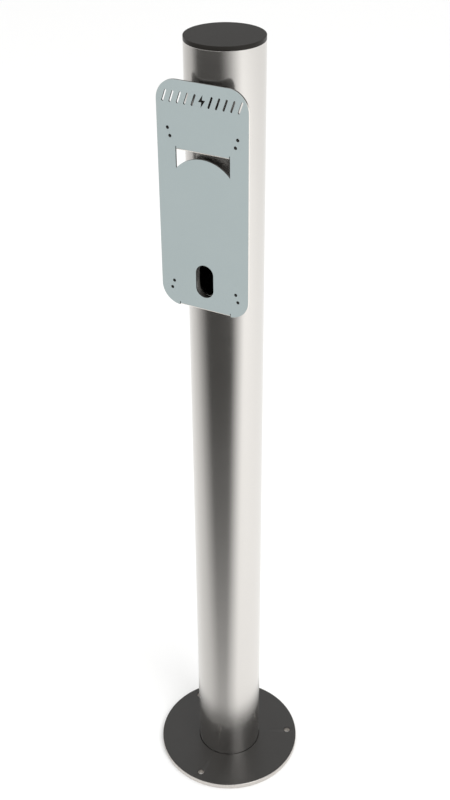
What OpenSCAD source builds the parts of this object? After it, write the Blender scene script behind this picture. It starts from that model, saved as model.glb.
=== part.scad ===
// Charging post for an electric vehicle charger: a stainless tube on a round base flange, closed by a
// push-in cap, with a folded plate near the top that a wall charger screws to.
// Millimetres, +Z up, origin at the centre of the flange's underside. The plate faces -Y.

/* [Post tube] */
// Height of the finished post, from the ground to the top of the cap
post_h = 1370; // [1100:1:1700]
// Outer diameter of the tube
tube_d = 114.3; // [101.6:0.1:139.7]
// Wall of the tube
tube_wall = 3; // [2:0.5:5]
// How far the tube's lower end sits above the flange's underside, which leaves room for the weld
tube_foot_up = 5; // [2:0.5:8]

/* [Base] */
// Diameter of the base flange
base_d = 259; // [230:1:320]
// Thickness of the base flange
base_t = 10; // [8:0.5:15]
// Thickness of the black cover sheet on the flange
cover_t = 1; // [0.8:0.1:3]
// How far the cover's edge stays back from the flange's edge
cover_inset = 0.4; // [0:0.1:5]
// Diameter of the circle that the anchor holes lie on
anchor_pcd = 225; // [190:1:230]
// Diameter of an anchor hole
anchor_hole_d = 11; // [9:0.5:15]
// Number of anchor holes
anchor_count = 3; // [3:1:6]
// Leg of the weld inside the flange's bore
base_weld_leg = 4; // [2:0.5:5]

/* [Charger plate] */
// Width of the plate
plate_w = 143.8; // [135:0.1:170]
// Height of the plate
plate_h = 342.8; // [320:0.1:420]
// Thickness of the plate's sheet
plate_t = 3; // [2:0.5:4]
// Radius of the plate's corners
plate_corner_r = 31; // [10:0.5:32]
// Inside radius of the sheet's bends
bend_r = 1; // [0.5:0.5:3]
// From the tube's top end down to the plate's top edge
plate_drop = 42.6; // [10:0.1:120]
// From the tube's surface to the back of the plate
plate_standoff = 6.4; // [5:0.1:15]
// Width of the two folded tabs that carry the plate
tab_w = 83.4; // [60:0.1:88]
// Width of the relief cut at each end of a fold
relief_w = 1.2; // [0.5:0.1:3]

/* [Window and slot] */
// From the plate's top edge down to the fold of the upper tab
window_drop = 95.7; // [86:0.1:120]
// Height of the window at its middle
window_mid_h = 11.6; // [8:0.1:20]
// How much larger than the tube's radius the window's arched lower edge is
window_arc_more = 0.4; // [0:0.1:5]
// Width of the cable slot
slot_w = 29; // [20:1:40]
// Height of the cable slot
slot_h = 52.2; // [45:0.1:60]
// From the plate's lower edge up to the centre of the cable slot
slot_up = 47.9; // [40:0.1:70]

/* [Charger screw holes] */
// Diameter of a charger screw hole
screw_hole_d = 5; // [4:0.1:7]
// From the plate's lower edge up to the centre of both hole patterns
screw_up = 150.3; // [140:0.1:200]
// Width of the outer hole pattern
outer_w = 109.6; // [106:0.1:114]
// Height of the outer hole pattern
outer_h = 246.6; // [246:0.1:260]
// Width of the inner hole pattern
inner_w = 102.6; // [98:0.1:103]
// Height of the inner hole pattern
inner_h = 223.6; // [210:0.1:224]
// Width across the flats of a weld nut behind a screw hole
charger_nut_af = 10; // [8:0.5:10.5]
// Height of a weld nut
charger_nut_h = 4; // [3:0.5:5]

/* [Cut-out band] */
// From the plate's top edge down to the middle of the band
band_drop = 24.2; // [20:0.1:30]
// Height of a stroke
stroke_h = 18; // [10:0.5:20]
// Width of a stroke
stroke_w = 3; // [2:0.1:5]
// Spacing of the strokes
stroke_pitch = 11.5; // [7:0.5:11.5]
// Strokes on each side of the bolt
stroke_count = 5; // [2:1:5]
// Lean of the strokes from upright, in degrees
stroke_lean = 20; // [0:1:30]
// Width of the lightning bolt
bolt_w = 13; // [8:0.5:14]

/* [Cap] */
// Thickness of the cap's disc
cap_t = 6.3; // [3:0.1:10]
// How far the disc overhangs the tube all round
cap_overhang = 0; // [0:0.1:3]
// Chamfer on the disc's top edge
cap_chamfer = 0.6; // [0.2:0.1:2]
// Depth of the cap's plug inside the tube
plug_depth = 30; // [15:1:50]
// Wall of the plug
plug_wall = 2.5; // [1.5:0.5:4]
// How far the grip fins stand out from the plug
fin_out = 1.4; // [0.8:0.1:3]
// Thickness of a fin at its root
fin_t = 1.6; // [1:0.1:3]
// Number of grip fins
fin_count = 4; // [2:1:6]
// Clearance between the fins and the tube's bore
fin_clear = 0.3; // [0.1:0.1:1]
// Thickness of the stiffening webs inside the plug
web_t = 2; // [1:0.5:4]

/* [Earth point] */
// From the tube's top end down to the earth stud
earth_drop = 80; // [60:1:150]
// Diameter of the earth stud
stud_d = 8; // [5:1:10]
// Length of the stud from its collar to its tip
stud_len = 22; // [18:1:30]
// Diameter of the stud's welded collar
collar_d = 14; // [11:0.5:18]
// How far the collar reaches in from the tube's wall
collar_t = 3; // [2:0.5:5]
// Outer diameter of the flat washer
washer_d = 16; // [12:0.5:20]
// Thickness of the flat washer
washer_t = 1.6; // [1:0.1:3]
// Outer diameter of the split spring washer
spring_washer_d = 14; // [11:0.5:18]
// Thickness of the split spring washer
spring_washer_t = 2; // [1:0.1:3]
// Width across the nut's flats
nut_af = 13; // [11:0.5:17]
// Height of the nut
nut_h = 6.5; // [4:0.5:8]

/* [Hidden] */

// Clearances and small overlaps
bore_gap = 0.25;        // between the tube and the flange's bore
cover_gap = 0.6;        // between the tube and the cover's hole
seat_gap = 0.05;        // hairline between curved faces that a weld joins
thread_gap = 0.05;      // between the stud and what slides over it
eps = 0.01;             // joins and cuts run past each other by this
cut = 1;                // cutters stand out of what they cut by this

// Smoothness
big_fn = 180;
small_fn = 48;

// Colours
steel = [0.78, 0.77, 0.75];
bright = [0.84, 0.83, 0.80];
plate_colour = [0.67, 0.71, 0.71];
black = [0.17, 0.165, 0.16];
weld_colour = [0.62, 0.60, 0.57];

// Tube and base
tube_r = tube_d / 2;
bore_r = tube_r - tube_wall;
tube_top = post_h - cap_t;
flange_bore_r = tube_r + bore_gap;

// Plate
plate_top = tube_top - plate_drop;
plate_bottom = plate_top - plate_h;
plate_back = tube_r + plate_standoff;
plate_front = plate_back + plate_t;
bend_out_r = bend_r + plate_t;
fold_y = plate_front - bend_out_r;      // a fold's centre line, measured out from the tube's axis
lower_fold_z = plate_bottom + bend_out_r;
upper_fold_z = plate_top - window_drop;
tab_seat_r = tube_r + seat_gap;
tab_weld_leg = 3;

// Window: its lower edge is an arc about a centre under the window
window_w = tab_w + 2 * relief_w;
arc_r = tube_r + window_arc_more;
arc_centre_z = upper_fold_z - window_mid_h - arc_r;
window_low_z = arc_centre_z + sqrt(arc_r * arc_r - window_w * window_w / 4);

// Screw holes: the corners in the order of the weld nuts, and the angle from an outer to an inner nut
corners = [[-1, 1], [1, 1], [-1, -1], [1, -1]];
nut_pair_angle = atan2(outer_h - inner_h, outer_w - inner_w);

first_stroke_x = bolt_w / 2 + 6.5;
slot_z = plate_bottom + slot_up;
screw_z = plate_bottom + screw_up;
band_z = plate_top - band_drop;

// Earth point, on the wall at the back of the tube
earth_z = tube_top - earth_drop;
collar_y = bore_r - collar_t;
washer_y = collar_y - washer_t;
spring_washer_y = washer_y - spring_washer_t;
nut_y = spring_washer_y - nut_h;
spring_washer_split = 1.5;
nut_turn_angle = 30;    // slope of the turned corners

// ---------- shared shapes ----------

// A flat shape drawn in X and Z, as a sheet of the plate's thickness with its front face at plate_front
module in_plate() {
    translate([0, -plate_back, 0])
        rotate([90, 0, 0])
            linear_extrude(plate_t)
                children();
}

// Rectangle with round corners, its lower edge centred on the origin
module round_rect(w, h, r) {
    translate([-w / 2 + r, 0])
        square([w - 2 * r, h]);
    translate([-w / 2, r])
        square([w, h - 2 * r]);
    for (x = [-w / 2 + r, w / 2 - r], y = [r, h - r])
        translate([x, y])
            circle(r, $fn = big_fn);
}

// Upright slot with round ends, centred on the origin
module slot_shape(w, h) {
    square([w, h - w], center = true);
    for (y = [-1, 1])
        translate([0, y * (h - w) / 2])
            circle(w / 2, $fn = small_fn);
}

// Holes at the corners of a rectangle, centred on the origin
module corner_holes(w, h, d) {
    for (x = [-w / 2, w / 2], y = [-h / 2, h / 2])
        translate([x, y])
            circle(d / 2, $fn = small_fn);
}

// Hexagon that stands on the origin, with its corners turned off at its far end, and at its near end if both
module turned_hexagon(af, h, both) {
    corner_r = af / sqrt(3);
    turned_r = af / 2;
    turned_h = (corner_r - turned_r) * tan(nut_turn_angle);
    intersection() {
        cylinder(r = corner_r, h = h, $fn = 6);
        rotate_extrude($fn = small_fn)
            polygon([
                [0, 0],
                [both ? turned_r : corner_r + eps, 0],
                [corner_r + eps, turned_h],
                [corner_r + eps, h - turned_h],
                [turned_r, h],
                [0, h]
            ]);
    }
}

// What repeats round the anchor circle, the first one at the front
module at_anchors() {
    for (i = [0 : anchor_count - 1])
        rotate([0, 0, -90 + i * 360 / anchor_count])
            translate([anchor_pcd / 2, 0, 0])
                children();
}

// Round disc with the anchor holes and a centre hole
module anchored_disc(r, hole_r, z, t) {
    difference() {
        translate([0, 0, z])
            cylinder(r = r, h = t, $fn = big_fn);
        translate([0, 0, z - cut])
            cylinder(r = hole_r, h = t + 2 * cut, $fn = big_fn);
        at_anchors()
            translate([0, 0, z - cut])
                cylinder(d = anchor_hole_d, h = t + 2 * cut, $fn = small_fn);
    }
}

// Ring whose axis runs along Y from y0 towards the tube's wall
module earth_ring(d, y0, t) {
    translate([0, y0, earth_z])
        rotate([-90, 0, 0])
            difference() {
                cylinder(d = d, h = t, $fn = small_fn);
                translate([0, 0, -cut])
                    cylinder(d = stud_d + 2 * thread_gap, h = t + 2 * cut, $fn = small_fn);
            }
}

// ---------- base ----------

module base_flange() {
    color(bright)
        anchored_disc(base_d / 2, flange_bore_r, 0, base_t);
}

module base_cover() {
    color(black)
        anchored_disc(base_d / 2 - cover_inset, tube_r + cover_gap, base_t, cover_t);
}

// Fillet under the tube's end, against the wall of the flange's bore
module base_weld() {
    color(weld_colour)
        rotate_extrude($fn = big_fn)
            polygon([
                [flange_bore_r, tube_foot_up],
                [flange_bore_r - base_weld_leg, tube_foot_up],
                [flange_bore_r, tube_foot_up - base_weld_leg]
            ]);
}

// ---------- tube ----------

module post_tube() {
    color(steel)
        difference() {
            translate([0, 0, tube_foot_up])
                cylinder(r = tube_r, h = tube_top - tube_foot_up, $fn = big_fn);
            translate([0, 0, tube_foot_up - cut])
                cylinder(r = bore_r, h = tube_top - tube_foot_up + 2 * cut, $fn = big_fn);
            translate([0, 0, slot_z])
                rotate([90, 0, 0])
                    linear_extrude(tube_r + cut)
                        slot_shape(slot_w, slot_h);
        }
}

// ---------- charger plate ----------

// Lightning bolt, centred on the origin, as tall as the strokes
module bolt_shape() {
    upper = [[0.12, 0.5], [-0.42, -0.08], [0.02, -0.08]];
    lower = [[-0.12, -0.5], [0.42, 0.08], [-0.02, 0.08]];
    for (points = [upper, lower])
        polygon([for (p = points) [p[0] * bolt_w, p[1] * stroke_h]]);
}

// Leaning strokes on both sides of the bolt
module band_shape() {
    bolt_shape();
    for (side = [-1, 1], i = [0 : stroke_count - 1])
        translate([side * (first_stroke_x + stroke_pitch * i), 0])
            rotate(-stroke_lean)
                slot_shape(stroke_w, stroke_h);
}

// The window that the upper tab leaves, with its arched lower edge
module window_shape() {
    difference() {
        translate([-window_w / 2, window_low_z])
            square([window_w, upper_fold_z - window_low_z]);
        translate([0, arc_centre_z])
            circle(arc_r, $fn = big_fn);
    }
}

// The flat of the plate, drawn in X and Z
module plate_shape() {
    difference() {
        translate([0, plate_bottom])
            round_rect(plate_w, plate_h, plate_corner_r);
        translate([-window_w / 2, plate_bottom - cut])
            square([window_w, bend_out_r + cut]);
        window_shape();
        translate([0, slot_z])
            slot_shape(slot_w, slot_h);
        translate([0, screw_z])
            corner_holes(outer_w, outer_h, screw_hole_d);
        translate([0, screw_z])
            corner_holes(inner_w, inner_h, screw_hole_d);
        translate([0, band_z])
            band_shape();
    }
}

// A tab folded back to the tube, with the centre of its bend at fold_z
module folded_tab(fold_z) {
    difference() {
        translate([-tab_w / 2, -fold_y, fold_z])
            rotate([90, 0, 90])
                cylinder(r = bend_out_r, h = tab_w, $fn = small_fn);
        translate([-tab_w / 2 - cut, -fold_y, fold_z])
            rotate([90, 0, 90])
                cylinder(r = bend_r, h = tab_w + 2 * cut, $fn = small_fn);
        translate([-tab_w / 2 - cut, -fold_y, fold_z - bend_out_r - cut])
            cube([tab_w + 2 * cut, bend_out_r + cut, 2 * (bend_out_r + cut)]);
        translate([-tab_w / 2 - cut, -fold_y - bend_out_r - cut, fold_z + eps])
            cube([tab_w + 2 * cut, 2 * (bend_out_r + cut), bend_out_r + cut]);
    }
    difference() {
        translate([-tab_w / 2, -fold_y - eps, fold_z - bend_out_r])
            cube([tab_w, fold_y, plate_t]);
        translate([0, 0, fold_z - bend_out_r - cut])
            cylinder(r = tab_seat_r, h = plate_t + 2 * cut, $fn = big_fn);
    }
}

module charger_plate() {
    color(plate_colour) {
        in_plate()
            plate_shape();
        folded_tab(upper_fold_z);
        folded_tab(lower_fold_z);
    }
}

// Fillet in the corner under a tab, as wide as the tab where it meets the tube
module tab_weld(fold_z) {
    under_z = fold_z - bend_out_r;
    half_angle = asin((tab_w / 2 - tab_weld_leg) / tube_r);
    color(weld_colour)
        rotate([0, 0, -90 - half_angle])
            rotate_extrude(angle = 2 * half_angle, $fn = big_fn)
                polygon([
                    [tab_seat_r, under_z],
                    [tab_seat_r + tab_weld_leg, under_z],
                    [tab_seat_r, under_z - tab_weld_leg]
                ]);
}

module upper_tab_weld() {
    tab_weld(upper_fold_z);
}

module lower_tab_weld() {
    tab_weld(lower_fold_z);
}

// Weld nut on the back of the plate, at a corner of a hole pattern. Each nut turns a flat to the nut of the
// other pattern, because the two stand close together.
module charger_nut(w, h, corner) {
    pair_angle = atan2(corner[1] * sin(nut_pair_angle), corner[0] * cos(nut_pair_angle));
    color(bright)
        translate([corner[0] * w / 2, -plate_back, screw_z + corner[1] * h / 2])
            rotate([-90, 0, 0])
                difference() {
                    rotate([0, 0, 30 - pair_angle])
                        turned_hexagon(charger_nut_af, charger_nut_h, false);
                    translate([0, 0, -cut])
                        cylinder(d = screw_hole_d, h = charger_nut_h + 2 * cut, $fn = small_fn);
                }
}

module outer_nut(number) {
    charger_nut(outer_w, outer_h, corners[number - 1]);
}

module inner_nut(number) {
    charger_nut(inner_w, inner_h, corners[number - 1]);
}

// ---------- cap ----------

// One moulding: disc, hollow plug, grip fins and stiffening webs
module top_cap() {
    disc_r = tube_r + cap_overhang;
    fin_r = bore_r - fin_clear;
    plug_r = fin_r - fin_out;
    fin_pitch = plug_depth / (fin_count + 0.5);
    color(black) {
        rotate_extrude($fn = big_fn)
            polygon([
                [0, tube_top],
                [disc_r, tube_top],
                [disc_r, post_h - cap_chamfer],
                [disc_r - cap_chamfer, post_h],
                [0, post_h]
            ]);
        difference() {
            translate([0, 0, tube_top - plug_depth])
                cylinder(r = plug_r, h = plug_depth + eps, $fn = big_fn);
            translate([0, 0, tube_top - plug_depth - cut])
                cylinder(r = plug_r - plug_wall, h = plug_depth + cut, $fn = big_fn);
        }
        for (i = [1 : fin_count])
            rotate_extrude($fn = big_fn)
                polygon([
                    [plug_r - eps, tube_top - i * fin_pitch - fin_t / 2],
                    [fin_r, tube_top - i * fin_pitch],
                    [fin_r, tube_top - i * fin_pitch + fin_t / 4],
                    [plug_r - eps, tube_top - i * fin_pitch + fin_t / 2]
                ]);
        for (turn = [0, 90])
            rotate([0, 0, turn])
                translate([-plug_r + plug_wall - eps, -web_t / 2, tube_top - plug_depth / 2])
                    cube([2 * (plug_r - plug_wall + eps), web_t, plug_depth / 2 + eps]);
    }
}

// ---------- earth point ----------

// Stud with a collar whose back follows the tube's wall
module earth_stud() {
    color(bright)
        difference() {
            translate([0, collar_y, earth_z])
                rotate([-90, 0, 0]) {
                    cylinder(d = collar_d, h = collar_t, $fn = small_fn);
                    translate([0, 0, -stud_len])
                        cylinder(d = stud_d, h = stud_len + eps, $fn = small_fn);
                }
            difference() {
                translate([0, 0, earth_z - collar_d])
                    cylinder(r = tube_r + cut, h = 2 * collar_d, $fn = big_fn);
                translate([0, 0, earth_z - collar_d - cut])
                    cylinder(r = bore_r - seat_gap, h = 2 * (collar_d + cut), $fn = big_fn);
            }
        }
}

module earth_washer() {
    color(bright)
        earth_ring(washer_d, washer_y, washer_t);
}

module earth_spring_washer() {
    color(steel)
        difference() {
            earth_ring(spring_washer_d, spring_washer_y, spring_washer_t);
            translate([-spring_washer_split / 2, spring_washer_y - cut, earth_z])
                cube([spring_washer_split, spring_washer_t + 2 * cut, spring_washer_d]);
        }
}

module earth_nut() {
    color(bright)
        translate([0, nut_y, earth_z])
            rotate([-90, 0, 0])
                difference() {
                    turned_hexagon(nut_af, nut_h, true);
                    translate([0, 0, -cut])
                        cylinder(d = stud_d + 2 * thread_gap, h = nut_h + 2 * cut, $fn = small_fn);
                }
}

// ---------- drawing ----------

base_flange();
base_cover();
base_weld();
post_tube();
charger_plate();
upper_tab_weld();
lower_tab_weld();
outer_nut(1);  // outer_nut_1
outer_nut(2);  // outer_nut_2
outer_nut(3);  // outer_nut_3
outer_nut(4);  // outer_nut_4
inner_nut(1);  // inner_nut_1
inner_nut(2);  // inner_nut_2
inner_nut(3);  // inner_nut_3
inner_nut(4);  // inner_nut_4
top_cap();
earth_stud();
earth_washer();
earth_spring_washer();
earth_nut();
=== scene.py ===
# %% [markdown]
# # A charging post, finished in Blender
#
# The post arrives as a imported CAD model: a stainless tube on a round flange, a folded plate that a wall charger
# screws to, and a push-in cap. Everything is in metres, +Z is up, and the plate faces -Y.

# %% Load the frame
import math

import bmesh
import bpy
from mathutils import Matrix, Vector


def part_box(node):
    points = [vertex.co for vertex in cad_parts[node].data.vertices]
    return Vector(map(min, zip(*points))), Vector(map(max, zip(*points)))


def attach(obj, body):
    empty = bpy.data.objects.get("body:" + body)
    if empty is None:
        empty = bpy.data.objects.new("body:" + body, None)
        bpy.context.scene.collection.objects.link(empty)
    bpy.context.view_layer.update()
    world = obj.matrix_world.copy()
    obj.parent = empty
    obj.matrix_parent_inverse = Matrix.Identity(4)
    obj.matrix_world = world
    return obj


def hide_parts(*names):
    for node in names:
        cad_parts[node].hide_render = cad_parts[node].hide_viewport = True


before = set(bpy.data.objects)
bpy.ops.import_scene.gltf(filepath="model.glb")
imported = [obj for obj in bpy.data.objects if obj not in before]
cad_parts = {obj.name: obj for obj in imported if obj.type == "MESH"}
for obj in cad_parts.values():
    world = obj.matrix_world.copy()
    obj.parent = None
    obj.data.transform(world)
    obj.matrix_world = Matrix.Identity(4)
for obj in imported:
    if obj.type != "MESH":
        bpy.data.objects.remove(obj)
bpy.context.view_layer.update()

# %% [markdown]
# ## Sizes
#
# A size that the CAD model already has is read from its node's box. The few that a box can't show, such as a
# sheet's thickness or a hole's diameter, are named here once.

# %% Read and name the sizes
MM = 0.001


def half_width(node):
    low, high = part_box(node)
    return (high.x - low.x) / 2


tube_low, tube_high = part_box("post_tube")
tube_r = half_width("post_tube")
tube_wall = 3 * MM
tube_bore_r = tube_r - tube_wall

base_r = half_width("base_flange")
base_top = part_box("base_flange")[1].z
cover_r = half_width("base_cover")
cover_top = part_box("base_cover")[1].z
flange_bore_r = half_width("base_weld")
anchor_circle_r = 112.5 * MM
anchor_hole_r = 5.5 * MM
anchor_count = 3

plate_low, plate_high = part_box("charger_plate")
plate_w = plate_high.x - plate_low.x
plate_front = plate_low.y
plate_t = 3 * MM
plate_back = plate_front + plate_t
plate_mid_y = (plate_front + plate_back) / 2
plate_corner_r = 31 * MM

cap_low, cap_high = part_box("top_cap")
cap_r = half_width("top_cap")
print(f"tube {2000 * tube_r:.1f} mm, base {2000 * base_r:.1f} mm, plate {1000 * plate_w:.1f} mm wide")

# %% [markdown]
# ## Small helpers
#
# An operator works on whatever is selected, and the CAD nodes are selected after loading. So every helper starts
# by deselecting everything, and then selects only the piece that it works on.

# %% Selecting, adding and settling pieces
def start_fresh():
    if bpy.context.mode != "OBJECT":
        bpy.ops.object.mode_set(mode="OBJECT")
    bpy.ops.object.select_all(action="DESELECT")


def only(piece):
    start_fresh()
    piece.select_set(True)
    bpy.context.view_layer.objects.active = piece


def add(operator, name, **settings):
    start_fresh()
    operator(**settings)
    piece = bpy.context.active_object
    piece.name = name
    piece.data.name = name
    return piece


def settle(piece):
    only(piece)
    bpy.ops.object.transform_apply(location=True, rotation=True, scale=True)
    return piece


def pick(piece, part, wanted):
    """Enters edit mode and selects the vertices, edges or faces that wanted() says yes to."""
    only(piece)
    bpy.ops.object.mode_set(mode="EDIT")
    bpy.ops.mesh.select_mode(type=part)
    bpy.ops.mesh.select_all(action="DESELECT")
    shape = bmesh.from_edit_mesh(piece.data)
    found = [i for i in {"VERT": shape.verts, "EDGE": shape.edges, "FACE": shape.faces}[part] if wanted(i)]
    for item in found:
        item.select_set(True)
    shape.select_flush_mode()
    bmesh.update_edit_mesh(piece.data)
    return len(found)


# %% [markdown]
# A modifier is added, set and applied in one go, so that no live modifier is left on a finished piece. A cutter
# is used up by the cut that it makes.

# %% Modifiers and cuts
def modify(piece, kind, **settings):
    only(piece)
    step = piece.modifiers.new(kind.title(), kind)
    for key, value in settings.items():
        setattr(step, key, value)
    bpy.ops.object.modifier_apply(modifier=step.name)


def combine(piece, other, operation):
    modify(piece, "BOOLEAN", operation=operation, solver="EXACT", object=other)
    bpy.data.objects.remove(other)


def cut(piece, cutter):
    combine(piece, cutter, "DIFFERENCE")


def clean(piece, distance=0.001 * MM):
    only(piece)
    bpy.ops.object.mode_set(mode="EDIT")
    bpy.ops.mesh.select_all(action="SELECT")
    bpy.ops.mesh.remove_doubles(threshold=distance)
    bpy.ops.mesh.normals_make_consistent(inside=False)
    bpy.ops.object.mode_set(mode="OBJECT")


def smooth(piece, degrees=30):
    only(piece)
    bpy.ops.object.shade_smooth_by_angle(angle=math.radians(degrees))


# %% [markdown]
# Most pieces of this post are round, so they are turned like on a lathe: one vertex is extruded along the outline
# of half a section, and the outline is spun round the Z axis. The outline carries its own small chamfers, which
# is cleaner than a bevel afterwards.

# %% The lathe
def lathe(name, outline, steps=192, closed=True):
    """Turns an outline of (radius, height) pairs round the Z axis."""
    piece = add(bpy.ops.mesh.primitive_plane_add, name, size=MM, location=(0, 0, 0))
    bpy.ops.object.mode_set(mode="EDIT")
    bpy.ops.mesh.select_mode(type="VERT")
    bpy.ops.mesh.select_all(action="SELECT")
    bpy.ops.mesh.merge(type="CENTER")
    first = Vector((outline[0][0], 0, outline[0][1]))
    bpy.ops.transform.translate(value=first)
    here = first
    for radius, height in outline[1:]:
        there = Vector((radius, 0, height))
        bpy.ops.mesh.extrude_region_move(TRANSFORM_OT_translate={"value": there - here})
        here = there
    if closed:
        bpy.ops.mesh.extrude_region_move(TRANSFORM_OT_translate={"value": first - here})
    bpy.ops.mesh.select_all(action="SELECT")
    bpy.ops.mesh.remove_doubles(threshold=0.001 * MM)
    bpy.ops.mesh.select_all(action="SELECT")
    bpy.ops.mesh.spin(steps=steps, angle=math.tau, center=(0, 0, 0), axis=(0, 0, 1))
    clean(piece)
    return piece


def upright_cutter(radius, x, y, low, high, steps=64):
    return add(
        bpy.ops.mesh.primitive_cylinder_add,
        "cutter",
        vertices=steps,
        radius=radius,
        depth=high - low,
        location=(x, y, (low + high) / 2),
    )


def level_cutter(radius, x, z, depth, steps=48):
    """A cutter whose axis runs along Y through the plate."""
    return add(
        bpy.ops.mesh.primitive_cylinder_add,
        "cutter",
        vertices=steps,
        radius=radius,
        depth=depth,
        location=(x, plate_mid_y, z),
        rotation=(math.radians(90), 0, 0),
    )


def block_cutter(x_low, x_high, y_low, y_high, z_low, z_high):
    return settle(
        add(
            bpy.ops.mesh.primitive_cube_add,
            "cutter",
            size=1,
            location=((x_low + x_high) / 2, (y_low + y_high) / 2, (z_low + z_high) / 2),
            scale=(x_high - x_low, y_high - y_low, z_high - z_low),
        )
    )


print("helpers are ready")

# %% [markdown]
# ## Finishes
#
# A finish is a small tree of nodes on the Principled shader. It reads Object coordinates, so that the grain stays
# on the piece, and it never reads where the camera stands. A value that is the same all over is set on the
# socket; only what varies is wired.

# %% Node helpers
class Finish:
    """A material whose nodes are added one by one."""

    def __init__(self, name, **sockets):
        self.material = bpy.data.materials.new(name)
        self.material.use_nodes = True
        self.tree = self.material.node_tree
        self.shader = self.tree.nodes["Principled BSDF"]
        for socket, value in sockets.items():
            self.shader.inputs[socket.replace("_", " ")].default_value = value
        self.place = self.add("ShaderNodeTexCoord").outputs["Object"]

    def add(self, kind, **settings):
        node = self.tree.nodes.new(kind)
        for key, value in settings.items():
            setattr(node, key, value)
        return node

    def wire(self, output, target):
        self.tree.links.new(output, target)

    def stretched(self, scale):
        mapping = self.add("ShaderNodeMapping")
        mapping.inputs["Scale"].default_value = scale
        self.wire(self.place, mapping.inputs["Vector"])
        return mapping.outputs["Vector"]

    def noise(self, scale, detail=2.0, roughness=0.5):
        """Noise whose grain is set by how often it repeats in a metre, along X, Y and Z."""
        node = self.add("ShaderNodeTexNoise")
        node.inputs["Scale"].default_value = 1.0
        node.inputs["Detail"].default_value = detail
        node.inputs["Roughness"].default_value = roughness
        self.wire(self.stretched(scale), node.inputs["Vector"])
        return node.outputs["Fac"]

    def between(self, factor, low, high, from_low=0.3, from_high=0.7):
        node = self.add("ShaderNodeMapRange")
        node.inputs["From Min"].default_value = from_low
        node.inputs["From Max"].default_value = from_high
        node.inputs["To Min"].default_value = low
        node.inputs["To Max"].default_value = high
        self.wire(factor, node.inputs["Value"])
        return node.outputs["Result"]

    def math(self, operation, first, second=None):
        node = self.add("ShaderNodeMath", operation=operation)
        for value, socket in ((first, node.inputs[0]), (second, node.inputs[1])):
            if value is None:
                continue
            if isinstance(value, (int, float)):
                socket.default_value = value
            else:
                self.wire(value, socket)
        return node.outputs[0]

    def either(self, factor, low, high):
        """A number that goes from low to high with the factor."""
        node = self.add("ShaderNodeMix", data_type="FLOAT")
        for value, socket in ((factor, node.inputs[0]), (low, node.inputs[2]), (high, node.inputs[3])):
            self.wire(value, socket)
        return node.outputs[0]

    def colour(self, factor, low, high):
        node = self.add("ShaderNodeMix", data_type="RGBA")
        sockets = [s for s in node.inputs if s.type == "RGBA"]
        for value, socket in ((low, sockets[0]), (high, sockets[1])):
            if isinstance(value, tuple):
                socket.default_value = (*value, 1)
            else:
                self.wire(value, socket)
        self.wire(factor, node.inputs["Factor"])
        return [s for s in node.outputs if s.type == "RGBA"][0]

    def bump(self, height, distance, strength=1.0, under=None):
        node = self.add("ShaderNodeBump")
        node.inputs["Distance"].default_value = distance
        node.inputs["Strength"].default_value = strength
        self.wire(height, node.inputs["Height"])
        if under is not None:
            self.wire(under, node.inputs["Normal"])
        return node.outputs["Normal"]

    def send(self, **sockets):
        for socket, output in sockets.items():
            self.wire(output, self.shader.inputs[socket.replace("_", " ")])
        return self.material


# %% [markdown]
# ### Brushed stainless
#
# The tube is polished on a belt while it turns, so its scratches run round it: the grain repeats thousands of
# times in a metre of height, but only a few times round the tube. Handling leaves faint broad patches that are
# a little rougher. The steel is a warm grey, and its gloss is soft.

# %% Tube steel
def tube_steel():
    steel = Finish("tube_steel", Metallic=1.0, Anisotropic=0.15)
    scratches = steel.noise((14, 14, 2600), detail=4)
    patches = steel.noise((9, 9, 5), detail=3)
    roughness = steel.math("ADD", steel.between(scratches, -0.03, 0.03), steel.between(patches, 0.19, 0.24))
    colour = steel.colour(patches, (0.655, 0.634, 0.608), (0.685, 0.664, 0.638))
    return steel.send(Base_Color=colour, Roughness=roughness, Normal=steel.bump(scratches, 0.004 * MM))


# %% [markdown]
# ### Cut steel
#
# The flange is cut from plate. Its flats keep a fine mill grain, and its cut edges show the upright ripple that
# the cutting beam leaves. The ripple is noise that hardly changes with height. Close to the tube the steel is
# painted near black: painted shade in the narrow gap that the cover leaves.

# %% Flange and edge steel
def cut_steel(name, tint_low, tint_high):
    steel = Finish(name, Metallic=1.0)
    ripple = steel.noise((1100, 1100, 60), detail=3)
    grain = steel.noise((60, 900, 60), detail=3)
    colour = steel.colour(grain, tint_low, tint_high)
    roughness = steel.between(grain, 0.26, 0.36)
    relief = steel.bump(ripple, 0.02 * MM, under=steel.bump(grain, 0.004 * MM))
    # Painted shade: within about two millimetres of the tube the flange is coloured near black, standing in for the
    # shade in the gap under the cover.
    spot = steel.add("ShaderNodeSeparateXYZ")
    steel.wire(steel.place, spot.inputs["Vector"])
    squares = [steel.math("MULTIPLY", spot.outputs[axis], spot.outputs[axis]) for axis in "XY"]
    away = steel.math("SQRT", steel.math("ADD", *squares))
    past_painted_shade = steel.between(away, 0.0, 1.0, from_low=tube_r + 0.8 * MM, from_high=tube_r + 2 * MM)
    colour = steel.colour(past_painted_shade, (0.03, 0.029, 0.027), colour)
    return steel.send(Base_Color=colour, Roughness=roughness, Normal=relief)
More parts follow.
